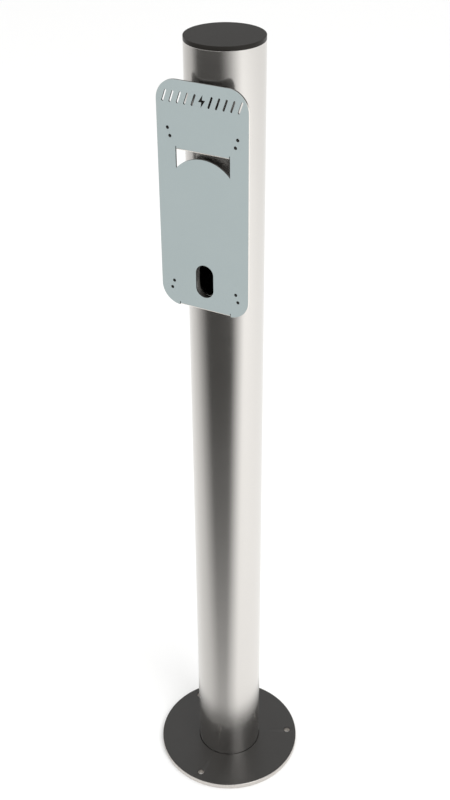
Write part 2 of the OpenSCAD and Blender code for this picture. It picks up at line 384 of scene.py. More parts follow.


# %% [markdown]
# ### The plate
#
# One sheet shows three surfaces. The front has a flat, cool grey coat with the faint orange peel of a sprayed
# film. The outline and the bends are ground bright. The back, the walls of every opening and the edge that looks
# up are painted near black: painted shade for the shade between plate and tube and inside the openings. One
# finish tells them apart by the way a face looks and by how far it lies inside the outline, so it fits the sheet
# wherever an opening is moved.

# %% Where a point of the plate lies
def inside_outline(finish, spot):
    """How far a point lies inside the plate's rounded outline, in metres, less than nothing outside."""
    beyond = []
    half_straight = (plate_w / 2 - plate_corner_r, (plate_high.z - plate_low.z) / 2 - plate_corner_r)
    middle = (0.0, (plate_high.z + plate_low.z) / 2)
    for axis, half, centre in zip("XZ", half_straight, middle):
        away = finish.math("ABSOLUTE", finish.math("SUBTRACT", spot.outputs[axis], centre))
        beyond.append(finish.math("MAXIMUM", finish.math("SUBTRACT", away, half), 0.0))
    squares = [finish.math("MULTIPLY", b, b) for b in beyond]
    return finish.math("SUBTRACT", plate_corner_r, finish.math("SQRT", finish.math("ADD", *squares)))


# %% Plate finish
def plate_finish():
    plate = Finish("plate_coat", Specular_IOR_Level=0.3)
    coords = plate.add("ShaderNodeTexCoord")
    normal = plate.add("ShaderNodeSeparateXYZ")
    plate.wire(coords.outputs["Normal"], normal.inputs["Vector"])
    spot = plate.add("ShaderNodeSeparateXYZ")
    plate.wire(coords.outputs["Object"], spot.inputs["Vector"])
    across = normal.outputs["Y"]
    at_front = plate.math("LESS_THAN", spot.outputs["Y"], plate_front + 0.3 * MM)
    is_inner = plate.math("GREATER_THAN", inside_outline(plate, spot), 0.8 * MM)
    looks_up = plate.between(normal.outputs["Z"], 0.0, 1.0, from_low=0.2, from_high=0.5)
    is_inner = plate.math("MAXIMUM", is_inner, looks_up)
    looks_ahead = plate.between(across, 1.0, 0.0, from_low=-0.995, from_high=-0.97)
    at_rim = plate.math("MULTIPLY", plate.math("LESS_THAN", across, -0.3), is_inner)
    coated = plate.math("MULTIPLY", plate.math("MAXIMUM", looks_ahead, at_rim), at_front)
    # Painted shade: the back, the walls of the openings and the edge that looks up get a near-black colour that
    # stands in for shade.
    looks_back = plate.math("GREATER_THAN", across, 0.3)
    is_wall = plate.math("LESS_THAN", plate.math("ABSOLUTE", across), 0.3)
    in_sheet = plate.math("LESS_THAN", spot.outputs["Y"], plate_back)
    inner_wall = plate.math("MULTIPLY", is_wall, plate.math("MULTIPLY", in_sheet, is_inner))
    dark = plate.math("MAXIMUM", looks_back, inner_wall)

    patches = plate.noise((14, 14, 14), detail=3)
    peel = plate.noise((520, 520, 520), detail=2)
    grain = plate.noise((900, 60, 60), detail=3)
    ripple = plate.noise((1000, 90, 1000), detail=2)
    coat_colour = plate.colour(patches, (0.322, 0.374, 0.377), (0.338, 0.389, 0.392))
    bare_colour = plate.colour(grain, (0.78, 0.74, 0.69), (0.86, 0.82, 0.77))
    painted_shade_colour = plate.colour(grain, (0.030, 0.029, 0.027), (0.045, 0.043, 0.040))
    roughness = plate.either(coated, plate.between(grain, 0.26, 0.36), plate.between(peel, 0.52, 0.62))
    relief = plate.bump(ripple, 0.008 * MM, under=plate.bump(peel, 0.012 * MM))
    covered = plate.math("MAXIMUM", coated, dark)
    return plate.send(
        Base_Color=plate.colour(coated, plate.colour(dark, bare_colour, painted_shade_colour), coat_colour),
        Metallic=plate.math("MULTIPLY", plate.math("SUBTRACT", 1.0, covered), 0.6),
        Roughness=plate.either(dark, roughness, plate.between(grain, 0.40, 0.50)),
        Normal=relief,
    )


# %% [markdown]
# ### Black parts
#
# The cover sheet is powder coated: satin black with a fine pebble. The cap is moulded in a black plastic whose
# mould was spark-eroded on top, which leaves an even, dry grain, and polished at the rim.

# %% Black coat and black plastic
def black_coat():
    coat = Finish("cover_black", Specular_IOR_Level=0.5)
    pebble = coat.noise((1300, 1300, 1300), detail=2)
    patches = coat.noise((22, 22, 22), detail=4)
    colour = coat.colour(patches, (0.0150, 0.0137, 0.0122), (0.0205, 0.0190, 0.0172))
    roughness = coat.math("ADD", coat.between(patches, 0.30, 0.37), coat.between(pebble, -0.02, 0.02))
    return coat.send(Base_Color=colour, Roughness=roughness, Normal=coat.bump(pebble, 0.010 * MM))


def black_plastic():
    plastic = Finish("cap_plastic", Specular_IOR_Level=0.13)
    grain = plastic.noise((2200, 2200, 2200), detail=3, roughness=0.6)
    patches = plastic.noise((30, 30, 30), detail=4)
    colour = plastic.colour(patches, (0.0140, 0.0126, 0.0110), (0.0185, 0.0169, 0.0150))
    coords = plastic.add("ShaderNodeTexCoord")
    normal = plastic.add("ShaderNodeSeparateXYZ")
    plastic.wire(coords.outputs["Normal"], normal.inputs["Vector"])
    on_top = plastic.between(normal.outputs["Z"], 0.30, 0.56, from_low=0.2, from_high=0.9)
    roughness = plastic.math("ADD", on_top, plastic.between(grain, -0.04, 0.04))
    return plastic.send(Base_Color=colour, Roughness=roughness, Normal=plastic.bump(grain, 0.02 * MM))


# %% [markdown]
# ### Welds and fasteners
#
# A stainless weld that has been brushed clean keeps a trace of straw and violet from the heat. Fasteners are
# bright drawn steel with a little grain.

# %% Weld and fastener steel
def weld_steel():
    weld = Finish("weld_steel", Metallic=1.0)
    heat = weld.noise((140, 140, 140), detail=4)
    grain = weld.noise((1600, 1600, 1600), detail=3)
    warm = weld.colour(weld.between(heat, 0.0, 1.0), (0.66, 0.58, 0.46), (0.60, 0.58, 0.57))
    colour = weld.colour(weld.between(heat, 0.0, 0.5, 0.55, 0.75), warm, (0.42, 0.40, 0.50))
    roughness = weld.between(grain, 0.30, 0.46)
    return weld.send(Base_Color=colour, Roughness=roughness, Normal=weld.bump(grain, 0.01 * MM))


def fastener_steel():
    steel = Finish("fastener_steel", Metallic=1.0)
    grain = steel.noise((900, 120, 900), detail=3)
    colour = steel.colour(grain, (0.70, 0.69, 0.67), (0.80, 0.79, 0.77))
    roughness = steel.between(grain, 0.22, 0.34)
    return steel.send(Base_Color=colour, Roughness=roughness, Normal=steel.bump(grain, 0.004 * MM))


def nut_steel():
    steel = Finish("nut_steel", Metallic=0.6, Specular_IOR_Level=0.3)
    grain = steel.noise((900, 120, 900), detail=3)
    colour = steel.colour(grain, (0.030, 0.029, 0.027), (0.050, 0.048, 0.045))
    roughness = steel.between(grain, 0.42, 0.56)
    return steel.send(Base_Color=colour, Roughness=roughness, Normal=steel.bump(grain, 0.004 * MM))


FINISHES = {
    "tube_steel": tube_steel(),
    "flange_steel": cut_steel("flange_steel", (0.58, 0.55, 0.52), (0.66, 0.63, 0.60)),
    "plate_steel": plate_finish(),
    "cover_black": black_coat(),
    "cap_plastic": black_plastic(),
    "weld_steel": weld_steel(),
    "fastener_steel": fastener_steel(),
    "nut_steel": nut_steel(),
}
print("finishes:", ", ".join(FINISHES))

# %% [markdown]
# ## Handing a piece in
#
# Each finished piece gets its finish, rides on its body and stands for its CAD node. The CAD node then stays
# behind, hidden.

# %% Hand a piece in
def hand_in(piece, body, node, slot):
    start_fresh()
    piece.data.materials.clear()
    piece.data.materials.append(FINISHES[slot])
    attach(piece, body)
    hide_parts(node)
    triangles = sum(len(face.vertices) - 2 for face in piece.data.polygons)
    print(f"{piece.name}: {triangles} triangles, stands for {node}")


# %% [markdown]
# ## The tube
#
# A round tube with the cable slot in its front wall. It is turned on the lathe with a small chamfer at each end.
# The slot cutter is a cylinder that lies along Y: its upper half is moved up and its lower half down, which
# makes a slot with round ends. Its edges are then broken with a narrow bevel, as a file would do.

# %% Turn the tube
chamfer = 0.4 * MM
tube = lathe(
    "tube",
    [
        (tube_r, tube_low.z + chamfer),
        (tube_r, tube_high.z - chamfer),
        (tube_r - chamfer, tube_high.z),
        (tube_bore_r + chamfer, tube_high.z),
        (tube_bore_r, tube_high.z - chamfer),
        (tube_bore_r, tube_low.z + chamfer),
        (tube_bore_r + chamfer, tube_low.z),
        (tube_r - chamfer, tube_low.z),
    ],
    steps=256,
)
print("tube height:", round(tube.dimensions.z, 4))

# %% Cut the cable slot in the tube
slot_w = 29 * MM
slot_h = 52.2 * MM
slot_z = plate_low.z + 47.9 * MM
ROUND_END_STEPS = 62  # not a multiple of four, so no vertex lies level with the slot's middle


def slot_cutter(width, height, depth):
    """A slot-shaped cutter round the origin, upright, with its depth along Y."""
    cutter = settle(
        add(
            bpy.ops.mesh.primitive_cylinder_add,
            "cutter",
            vertices=ROUND_END_STEPS,
            radius=width / 2,
            depth=depth,
            rotation=(math.radians(90), 0, 0),
        )
    )
    for side in (1, -1):
        pick(cutter, "VERT", lambda v, side=side: v.co.z * side > 0)
        bpy.ops.transform.translate(value=(0, 0, side * (height - width) / 2))
    start_fresh()
    return cutter


def moved(cutter, x, y, z, lean=0.0):
    cutter.rotation_euler.y = lean
    cutter.location = (x, y, z)
    return settle(cutter)


cut(tube, moved(slot_cutter(slot_w, slot_h, tube_r), 0, -tube_r, slot_z))


def break_edges(piece, width, near, segments=2):
    """A narrow bevel on the sharp edges that near() says yes to."""
    count = pick(
        piece,
        "EDGE",
        lambda e: len(e.link_faces) == 2 and e.calc_face_angle() > math.radians(40) and near(e),
    )
    bpy.ops.mesh.bevel(offset=width, segments=segments, affect="EDGES", clamp_overlap=False)
    start_fresh()
    print(f"{piece.name}: {count} edges broken by {width / MM:.2f} mm")


def around_slot(edge):
    return all(abs(v.co.z - slot_z) < slot_h and v.co.y < 0 for v in edge.verts)


break_edges(tube, 0.3 * MM, around_slot)
smooth(tube)

# %% [markdown]
# Where the slot cuts the round wall, the faces beside it would shade as flat strips. A round surface has a
# simple true normal, straight out from its axis, so it is written onto every face of the wall.

# %% True normals for round walls
def round_normals(piece, axis_x=0.0, axis_y=0.0):
    mesh = piece.data
    normals = [Vector(n.vector) for n in mesh.corner_normals]
    for face in mesh.polygons:
        outward = Vector((face.center.x - axis_x, face.center.y - axis_y, 0)).normalized()
        facing = face.normal.dot(outward)
        if abs(facing) < 0.9995:
            continue
        for corner in face.loop_indices:
            point = mesh.vertices[mesh.loops[corner].vertex_index].co
            straight = Vector((point.x - axis_x, point.y - axis_y, 0)).normalized()
            normals[corner] = straight * (1 if facing > 0 else -1)
    mesh.normals_split_custom_set(normals)


round_normals(tube)
hand_in(tube, "post", "post_tube", "tube_steel")

# %% [markdown]
# ## The base
#
# The flange is a thick disc with a hole for the tube and three anchor holes. On it lies a thin black cover with
# the same holes. Both are turned, drilled, and get their hole edges broken.

# %% Turn and drill the flange and its cover
def turned_disc(name, outer_r, inner_r, low, high, chamfer):
    return lathe(
        name,
        [
            (outer_r, low + chamfer),
            (outer_r, high - chamfer),
            (outer_r - chamfer, high),
            (inner_r + chamfer, high),
            (inner_r, high - chamfer),
            (inner_r, low + chamfer),
            (inner_r + chamfer, low),
            (outer_r - chamfer, low),
        ],
        steps=256,
    )


def anchor_places():
    for number in range(anchor_count):
        angle = math.radians(-90 + number * 360 / anchor_count)
        yield anchor_circle_r * math.cos(angle), anchor_circle_r * math.sin(angle)


def on_anchor_hole(edge):
    for x, y in anchor_places():
        if all(abs(math.hypot(v.co.x - x, v.co.y - y) - anchor_hole_r) < 0.1 * MM for v in edge.verts):
            return True
    return False


def drilled_disc(name, outer_r, inner_r, low, high, chamfer):
    disc = turned_disc(name, outer_r, inner_r, low, high, chamfer)
    for x, y in anchor_places():
        cut(disc, upright_cutter(anchor_hole_r, x, y, low - MM, high + MM))
    break_edges(disc, chamfer, on_anchor_hole)
    smooth(disc)
    return disc


flange = drilled_disc("flange", base_r, flange_bore_r, 0.0, base_top, 0.5 * MM)
hand_in(flange, "post", "base_flange", "flange_steel")
cover = drilled_disc("base_cover_sheet", cover_r, tube_r + 0.6 * MM, base_top, cover_top, 0.2 * MM)
hand_in(cover, "post", "base_cover", "cover_black")

# %% [markdown]
# ## The charger plate
#
# One laser-cut sheet, folded twice. The blank starts as a thin block whose four upright corners are rounded. Then
# the cutter opens the window, the cable slot, the screw holes and the row of vents, and last a press folds two
# tabs back to the tube.

# %% The blank
plate_h = plate_high.z - plate_low.z
plate = settle(
    add(
        bpy.ops.mesh.primitive_cube_add,
        "plate",
        size=1,
        location=(0, plate_mid_y, (plate_low.z + plate_high.z) / 2),
        scale=(plate_w, plate_t, plate_h),
    )
)
pick(plate, "EDGE", lambda e: abs(e.verts[0].co.y - e.verts[1].co.y) > plate_t / 2)
bpy.ops.mesh.bevel(offset=plate_corner_r, segments=28, affect="EDGES")
start_fresh()
print("blank:", [round(d, 4) for d in plate.dimensions])

# %% Sizes of the folds and of the window
bend_out_r = 4 * MM
tab_w = 83.4 * MM
relief_w = 1.2 * MM
relief_up = 1.5 * MM
window_w = tab_w + 2 * relief_w
fold_line_y = -(plate_front + bend_out_r)  # how far in front of the tube's axis
lower_fold_z = plate_low.z + bend_out_r
upper_fold_z = plate_high.z - 95.7 * MM
window_mid_h = 11.6 * MM
arc_r = tube_r + 0.4 * MM
arc_centre_z = upper_fold_z - window_mid_h - arc_r
CUT_DEPTH = 3 * plate_t


# %% [markdown]
# The window is a rectangle with an arched lower edge: a block whose lower part is bitten away by a large
# cylinder. Each fold also has two small relief cuts, one at each end, that stop the sheet from tearing.

# %% Cut the window and the reliefs
def cut_reliefs(fold_z):
    for side in (-1, 1):
        ends = sorted((side * tab_w / 2, side * window_w / 2))
        cut(plate, block_cutter(*ends, plate_front - MM, plate_back + MM, fold_z - MM, fold_z + relief_up))


window_low_z = arc_centre_z + math.sqrt(arc_r**2 - (window_w / 2) ** 2)
window = block_cutter(-window_w / 2, window_w / 2, plate_front - MM, plate_back + MM, window_low_z, upper_fold_z)
cut(window, level_cutter(arc_r, 0, arc_centre_z, CUT_DEPTH, steps=360))
cut(plate, window)
cut_reliefs(upper_fold_z)
lower_edge = block_cutter(
    -window_w / 2, window_w / 2, plate_front - MM, plate_back + MM, plate_low.z - MM, lower_fold_z
)
cut(plate, lower_edge)
cut_reliefs(lower_fold_z)
print("window:", round(1000 * window_w, 1), "mm wide")

# %% [markdown]
# The vents are plain slots that lean to one side, five on each side of a simple lightning bolt. The bolt is cut
# by two three-sided cutters, whose corners are moved to their places.

# %% Cut the slot, the screw holes and the vents
screw_z = plate_low.z + 150.3 * MM
SCREW_PATTERNS = {"outer": (109.6 * MM, 246.6 * MM), "inner": (102.6 * MM, 223.6 * MM)}
screw_hole_r = 2.5 * MM
vent_z = plate_high.z - 24.2 * MM
vent_w, vent_h = 3 * MM, 18 * MM
vent_pitch = 11.5 * MM
vent_lean = math.radians(20)
bolt_w = 13 * MM
vents_each_side = 5

cut(plate, moved(slot_cutter(slot_w, slot_h, CUT_DEPTH), 0, plate_mid_y, slot_z))
for wide, high in SCREW_PATTERNS.values():
    for x in (-wide / 2, wide / 2):
        for z in (screw_z - high / 2, screw_z + high / 2):
            cut(plate, level_cutter(screw_hole_r, x, z, CUT_DEPTH, steps=40))
for side in (-1, 1):
    for number in range(vents_each_side):
        x = side * (bolt_w / 2 + 6.5 * MM + vent_pitch * number)
        cut(plate, moved(slot_cutter(vent_w, vent_h, CUT_DEPTH), x, plate_mid_y, vent_z, lean=vent_lean))


def triangle_cutter(corners):
    cutter = settle(
        add(
            bpy.ops.mesh.primitive_cylinder_add,
            "cutter",
            vertices=3,
            radius=100 * MM,
            depth=CUT_DEPTH,
            rotation=(math.radians(90), 0, 0),
        )
    )
    starts = sorted({(round(v.co.x, 5), round(v.co.z, 5)) for v in cutter.data.vertices})
    for (x, z), (goal_x, goal_z) in zip(starts, corners):
        pick(cutter, "VERT", lambda v, x=x, z=z: math.hypot(v.co.x - x, v.co.z - z) < 0.1 * MM)
        bpy.ops.transform.translate(value=(goal_x - x, 0, goal_z - z))
    clean(cutter)
    return moved(cutter, 0, plate_mid_y, vent_z)


for turn in (1, -1):
    corners = [(0.12, 0.5), (-0.42, -0.08), (0.02, -0.08)]
    cut(plate, triangle_cutter([(turn * x * bolt_w, turn * z * vent_h) for x, z in corners]))
print("plate faces after cutting:", len(plate.data.polygons))

# %% [markdown]
# A fold starts from the sheet's cut edge. The edge face is extruded in place and turned a few degrees about the
# fold line, again and again, until it looks straight back. Then it is extruded to the tube, and a cylinder a hair
# larger than the tube shapes its end. A boolean turns loose parts of a mesh inside out if its faces point the
# wrong way, so the normals are made consistent before the cut.

# %% Fold the tabs
FOLD_STEPS = 10
tab_seat_r = tube_r + 0.05 * MM


def fold(fold_z):
    found = pick(
        plate,
        "FACE",
        lambda f: f.normal.z < -0.99
        and abs(f.calc_center_median().z - fold_z) < 0.01 * MM
        and abs(f.calc_center_median().x) < 0.5 * MM,
    )
    turn = math.radians(90) / FOLD_STEPS
    for _ in range(FOLD_STEPS):
        bpy.ops.mesh.extrude_region_move(TRANSFORM_OT_translate={"value": (0, 0, 0)})
        bpy.ops.transform.rotate(value=-turn, orient_axis="X", center_override=(0, -fold_line_y, fold_z))
    bpy.ops.mesh.extrude_region_move(TRANSFORM_OT_translate={"value": (0, tube_r / 2, 0)})
    clean(plate)
    cut(plate, upright_cutter(tab_seat_r, 0, 0, fold_z - 2 * bend_out_r, fold_z + bend_out_r, steps=360))
    print("fold at", round(fold_z, 4), "from", found, "face, plate is now", [round(d, 4) for d in plate.dimensions])


fold(upper_fold_z)
fold(lower_fold_z)

# %% [markdown]
# All the sharp edges of the sheet are broken a quarter of a millimetre, which is what gives a cut sheet its
# bright outline. After that, every flat face gets its own straight normal back, because smooth shading bends
# the normals of a large flat face towards its narrow bevels.

# %% Break the plate's edges
def flat_normals(piece, axes="XYZ"):
    mesh = piece.data
    normals = [Vector(n.vector) for n in mesh.corner_normals]
    for face in mesh.polygons:
        if any(abs(face.normal["XYZ".index(axis)]) > 0.9999 for axis in axes):
            for corner in face.loop_indices:
                normals[corner] = face.normal.copy()
    mesh.normals_split_custom_set(normals)


clean(plate)
break_edges(plate, 0.25 * MM, lambda e: True, segments=2)
smooth(plate, 50)
flat_normals(plate)
hand_in(plate, "post", "charger_plate", "plate_steel")

# %% [markdown]
# ## The welds
#
# A hand-made weld is a row of overlapping drops. One drop is a small ball; an array turns copies of it round the
# tube's axis, a remesh melts them into one bead, and a ring-shaped region trims the bead to its corner.

# %% Lay a weld bead
DROP_STEP = 1.5 * MM


def bead(name, radius, height, drop_r, half_angle, corner):
    """A bead whose drops lie at that radius and height, to both sides of the front."""
    count = max(2, round(2 * half_angle * radius / DROP_STEP) + (half_angle < math.pi))
    step = 2 * half_angle / (count - (half_angle < math.pi))
    piece = settle(
        add(
            bpy.ops.mesh.primitive_uv_sphere_add,
            name,
            segments=20,
            ring_count=12,
            radius=drop_r,
            location=(radius * math.sin(-half_angle), -radius * math.cos(-half_angle), height),
        )
    )
    start_fresh()
    bpy.ops.object.empty_add(location=(0, 0, 0), rotation=(0, 0, step))
    turner = bpy.context.active_object
    modify(
        piece,
        "ARRAY",
        count=count,
        use_relative_offset=False,
        use_object_offset=True,
        offset_object=turner,
    )
    bpy.data.objects.remove(turner)
    modify(piece, "REMESH", mode="VOXEL", voxel_size=0.38 * MM)
    modify(piece, "SMOOTH", factor=0.5, iterations=3)
    combine(piece, lathe("corner", corner, steps=256), "INTERSECT")
    smooth(piece, 60)
    print(name, "has", count, "drops")
    return piece


def tab_bead(name, fold_z):
    under_z = fold_z - bend_out_r
    reach = 3 * MM
    half_angle = math.asin((tab_w / 2 - 2 * reach) / tube_r)
    corner = [
        (tab_seat_r, under_z),
        (tab_seat_r + 2 * reach, under_z),
        (tab_seat_r + 2 * reach, under_z - 2 * reach),
        (tab_seat_r, under_z - 2 * reach),
    ]
    return bead(name, tab_seat_r + 0.8 * MM, under_z - 0.8 * MM, 2.1 * MM, half_angle, corner)


hand_in(tab_bead("upper_weld", upper_fold_z), "post", "upper_tab_weld", "weld_steel")
hand_in(tab_bead("lower_weld", lower_fold_z), "post", "lower_tab_weld", "weld_steel")

# %% The ring weld under the tube's foot
foot_corner = [
    (flange_bore_r, tube_low.z),
    (flange_bore_r - 6 * MM, tube_low.z),
    (flange_bore_r - 6 * MM, 0.5 * MM),
    (flange_bore_r, 0.5 * MM),
]
foot_weld = bead("foot_weld", flange_bore_r - MM, tube_low.z - MM, 2.9 * MM, math.pi, foot_corner)
hand_in(foot_weld, "post", "base_weld", "weld_steel")

# %% [markdown]
# ## The cap
#
# One black moulding. A flat disc covers the tube's end, and under it a hollow plug with thin grip fins goes into
# the bore. Two crossed webs stiffen the disc from below. Disc, plug and fins are one outline on the lathe; the
# webs are blocks joined to it.

# %% Mould the cap
cap_top = cap_high.z
cap_seat = tube_high.z
plug_low = cap_low.z
plug_depth = cap_seat - plug_low
fin_r = tube_bore_r - 0.3 * MM
plug_r = fin_r - 1.4 * MM
plug_bore_r = plug_r - 2.5 * MM
fin_count = 4
fin_t = 1.6 * MM
edge_r = 0.7 * MM
EDGE_STEPS = 4


def rounded_corner(centre_r, centre_z, radius, start, end):
    """Points on a quarter round of a lathe outline, between two angles in degrees."""
    for step in range(EDGE_STEPS + 1):
        angle = math.radians(start + (end - start) * step / EDGE_STEPS)
        yield centre_r + radius * math.cos(angle), centre_z + radius * math.sin(angle)


cap_outline = [(0, cap_top), (cap_r / 2, cap_top)]
cap_outline += list(rounded_corner(cap_r - edge_r, cap_top - edge_r, edge_r, 90, 0))
cap_outline += [(cap_r, cap_seat + 0.3 * MM), (cap_r - 0.3 * MM, cap_seat), (plug_r, cap_seat)]
for number in range(1, fin_count + 1):
    fin_z = cap_seat - number * plug_depth / (fin_count + 0.5)
    cap_outline += [
        (plug_r, fin_z + fin_t / 2),
        (fin_r - 0.1 * MM, fin_z + fin_t / 4),
        (fin_r, fin_z + fin_t / 8),
        (fin_r - 0.1 * MM, fin_z),
        (plug_r, fin_z - fin_t / 2),
    ]
cap_outline += [
    (plug_r, plug_low + 0.5 * MM),
    (plug_r - 0.5 * MM, plug_low),
    (plug_bore_r + 0.4 * MM, plug_low),
    (plug_bore_r, plug_low + 0.4 * MM),
    (plug_bore_r, cap_seat),
    (0, cap_seat),
]
cap = lathe("cap", cap_outline, steps=256, closed=False)
web_t = 2 * MM
for along_x in (True, False):
    long, short = plug_bore_r + 0.5 * MM, web_t / 2
    half_x, half_y = (long, short) if along_x else (short, long)
    web = block_cutter(-half_x, half_x, -half_y, half_y, cap_seat - plug_depth / 2, cap_seat + 0.5 * MM)
    combine(cap, web, "UNION")
smooth(cap, 40)
flat_normals(cap, axes="Z")
hand_in(cap, "cap", "top_cap", "cap_plastic")

# %% [markdown]
# ## The earth point
#
# Inside the tube, near its top, a stud for the earth lead stands on the wall, with a washer, a split spring
# washer and a nut. They are made upright at the origin and then laid down along Y.

# %% Lay an upright piece down
stud_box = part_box("earth_stud")
earth_z = (stud_box[0].z + stud_box[1].z) / 2
stud_r = 4 * MM
STUD_PITCH = 1.25 * MM
SLIDE_GAP = 0.05 * MM  # round the stud, inside what slides over it


def lay_down(piece, x, y, z):
    """Lays down a piece made upwards from the origin, so that it starts at that point and runs along +Y."""
    piece.rotation_euler.x = math.radians(-90)
    piece.location = (x, y, z)
    return settle(piece)


# %% [markdown]
# A thread is a real helix: a small triangle is swept by the Screw modifier, closed at its two ends, and joined to
# a core. The same helper makes the stud's thread and the cutter that threads a nut.

# %% Sweep a thread
def thread(piece, core_r, crest_r, pitch, low, high, steps=32):
    """Adds a ridge from low to high round an upright piece whose core has the radius core_r."""
    sunk = 0.05 * MM
    ridge = add(
        bpy.ops.mesh.primitive_circle_add,
        "ridge",
        vertices=3,
        radius=crest_r - core_r - sunk,
        rotation=(math.radians(90), 0, 0),
    )
    settle(ridge)
    pick(ridge, "VERT", lambda v: True)
    bpy.ops.transform.rotate(value=math.radians(30), orient_axis="Y", center_override=(0, 0, 0))
    start_fresh()
    ridge.location = (core_r + sunk, 0, low)
    settle(ridge)
    turns = int((high - low) / pitch)
    modify(ridge, "SCREW", angle=math.tau, screw_offset=pitch, iterations=turns, steps=steps, render_steps=steps)
    clean(ridge)
    pick(ridge, "EDGE", lambda e: e.is_boundary)
    bpy.ops.mesh.fill()
    clean(ridge)
    reach = max(math.hypot(v.co.x, v.co.y) for v in ridge.data.vertices)
    print(f"thread of {turns} turns reaches {1000 * reach:.2f} mm")
    combine(piece, ridge, "UNION")


# %% The stud
stud_tip_y = stud_box[0].y
collar_y = stud_box[1].y - 2.95 * MM
stud_len = collar_y - stud_tip_y
collar_r = 7 * MM
core_r = stud_r - 0.6 * MM
stud = lathe(
    "stud",
    [
        (0, 0),
        (core_r - 0.8 * MM, 0),
        (core_r, 0.8 * MM),
        (core_r, stud_len),
        (collar_r - 0.4 * MM, stud_len),
        (collar_r, stud_len + 0.4 * MM),
        (collar_r, stud_len + 2.6 * MM),
        (0, stud_len + 2.6 * MM),
    ],
    steps=64,
    closed=False,
)
thread(stud, core_r, stud_r, STUD_PITCH, 2 * MM, stud_len - 2 * MM)
smooth(stud, 35)
lay_down(stud, 0, stud_tip_y, earth_z)
hand_in(stud, "post", "earth_stud", "fastener_steel")

# %% The washers
def washer(name, node, edge):
    low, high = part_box(node)
    thick, outer_r, inner_r = high.y - low.y, (high.x - low.x) / 2, stud_r + SLIDE_GAP
    piece = lathe(
        name,
        [
            (outer_r, edge),
            (outer_r, thick - edge),
            (outer_r - edge, thick),
            (inner_r + edge, thick),
            (inner_r, thick - edge),
            (inner_r, edge),
            (inner_r + edge, 0),
            (outer_r - edge, 0),
        ],
        steps=64,
    )
    return piece, low.y


flat_washer, flat_washer_y = washer("flat_washer", "earth_washer", 0.2 * MM)
smooth(flat_washer, 35)
lay_down(flat_washer, 0, flat_washer_y, earth_z)
hand_in(flat_washer, "post", "earth_washer", "fastener_steel")

spring_washer, spring_washer_y = washer("spring_washer", "earth_spring_washer", 0.15 * MM)
split = block_cutter(-0.75 * MM, 0.75 * MM, 0, 10 * MM, -MM, 4 * MM)
pick(split, "VERT", lambda v: v.co.z > 0)
bpy.ops.transform.translate(value=(0.8 * MM, 0, 0))
start_fresh()
cut(spring_washer, split)
smooth(spring_washer, 35)
lay_down(spring_washer, 0, spring_washer_y, earth_z)
hand_in(spring_washer, "post", "earth_spring_washer", "fastener_steel")

# %% [markdown]
# A nut starts as a six-sided cylinder. The lathe's outline shaves its corners into the curved chamfers that every
# nut has, and a threaded cutter makes its bore.

# %% Make a nut
def make_nut(name, flat_r, height, bore_r, pitch, both_ends):
    """An upright nut on the origin, with its corners turned off at its far end or at both."""
    corner_r = flat_r / math.cos(math.radians(30))
    turned = (corner_r - flat_r) * math.tan(math.radians(30))
    beyond = corner_r + 0.01 * MM
    nut = settle(
        add(
            bpy.ops.mesh.primitive_cylinder_add,
            name,
            vertices=6,
            radius=corner_r,
            depth=height,
            location=(0, 0, height / 2),
            rotation=(0, 0, math.radians(30)),
        )
    )
    outline = [(0, 0), (flat_r, 0), (beyond, turned)] if both_ends else [(0, 0), (beyond, 0)]
    outline += [(beyond, height - turned), (flat_r, height), (0, height)]
    combine(nut, lathe("round", outline, steps=96, closed=False), "INTERSECT")
    minor_r = bore_r - 0.5 * pitch
    cutter = lathe(
        "cutter",
        [
            (0, -MM),
            (bore_r + 1.2 * MM, -MM),
            (minor_r, 0.2 * MM + bore_r - minor_r),
            (minor_r, height - 0.2 * MM - bore_r + minor_r),
            (bore_r + 1.2 * MM, height + MM),
            (0, height + MM),
        ],
        steps=48,
        closed=False,
    )
    thread(cutter, minor_r, bore_r, pitch, -0.5 * pitch, height + 0.6 * pitch, steps=24)
    cut(nut, cutter)
    smooth(nut, 25)
    return nut


earth_low, earth_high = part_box("earth_nut")
earth_nut = make_nut(
    "nut", (earth_high.z - earth_low.z) / 2, earth_high.y - earth_low.y, stud_r + SLIDE_GAP, STUD_PITCH, True
)
lay_down(earth_nut, 0, earth_low.y, earth_z)
hand_in(earth_nut, "post", "earth_nut", "fastener_steel")

# %% [markdown]
# ## The weld nuts
#
# Behind every screw hole a nut is welded to the sheet, because a charger's screws come from the front. All eight
# are the same nut, so it is made once and copied, and each copy has its own mesh. The nuts of the two hole
# patterns stand close together, so each one turns a flat towards its neighbour.

# %% Copy the weld nut to its eight places
first_low, first_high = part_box("outer_nut_1")
charger_nut_h = first_high.y - first_low.y
pattern_step = [(a - b) / 2 for a, b in zip(SCREW_PATTERNS["outer"], SCREW_PATTERNS["inner"])]
CHARGER_NUT_HALF = 5 * MM  # from its middle to a flat
CHARGER_PITCH = 0.8 * MM
weld_nut = make_nut("weld_nut", CHARGER_NUT_HALF, charger_nut_h, screw_hole_r, CHARGER_PITCH, False)
for pattern in SCREW_PATTERNS:
    for number in range(1, 5):
        node = f"{pattern}_nut_{number}"
        low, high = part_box(node)
        x, z = (low.x + high.x) / 2, (low.z + high.z) / 2
        towards = math.atan2(math.copysign(pattern_step[1], z - screw_z), math.copysign(pattern_step[0], x))
        only(weld_nut)
        bpy.ops.object.duplicate()
        copy = bpy.context.active_object
        copy.name = f"weld_nut_{pattern}_{number}"
        copy.rotation_euler.z = math.radians(30) - towards
        settle(copy)
        lay_down(copy, x, low.y, z)
        hand_in(copy, "post", node, "nut_steel")
bpy.data.objects.remove(weld_nut)

